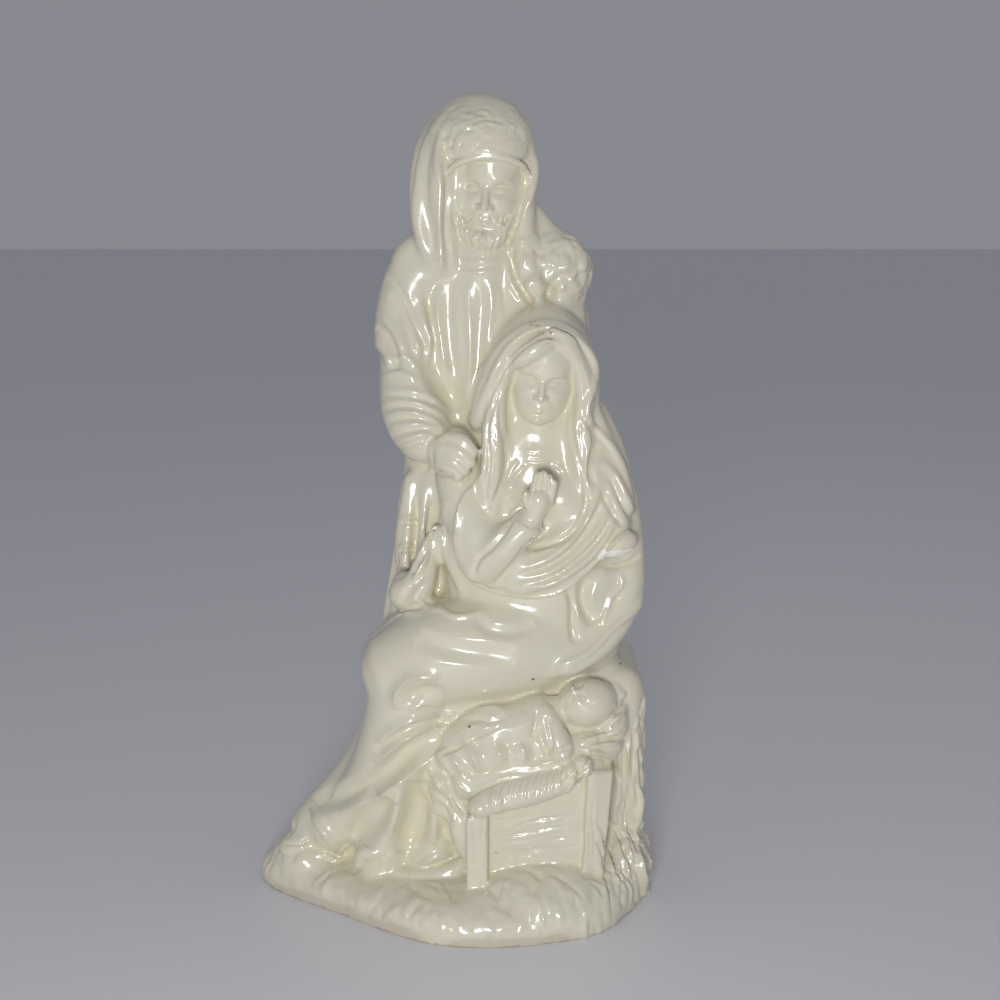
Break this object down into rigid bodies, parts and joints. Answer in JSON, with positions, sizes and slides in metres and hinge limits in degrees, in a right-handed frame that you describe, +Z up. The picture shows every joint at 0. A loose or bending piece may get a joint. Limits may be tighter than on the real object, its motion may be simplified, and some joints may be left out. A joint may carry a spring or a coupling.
{
  "type": "nativity figurine",
  "caption": "Glossy cream ceramic nativity figurine: a bearded man stands behind a seated woman, with a baby asleep in a manger, on one oval grassy base.",
  "frame": {"origin": "on the ground, under the middle of the base's bounding box", "axes": "+Z up, -Y towards the viewer that the figures face, +X to that viewer's right"},
  "size_m": [0.1638, 0.1138, 0.3199],
  "materials": {
    "cream_glaze": "glossy cream ceramic glaze over earthenware"
  },
  "bodies": {
    "root": {"nativity_figurine": "cream_glaze"}
  },
  "joints": []
}
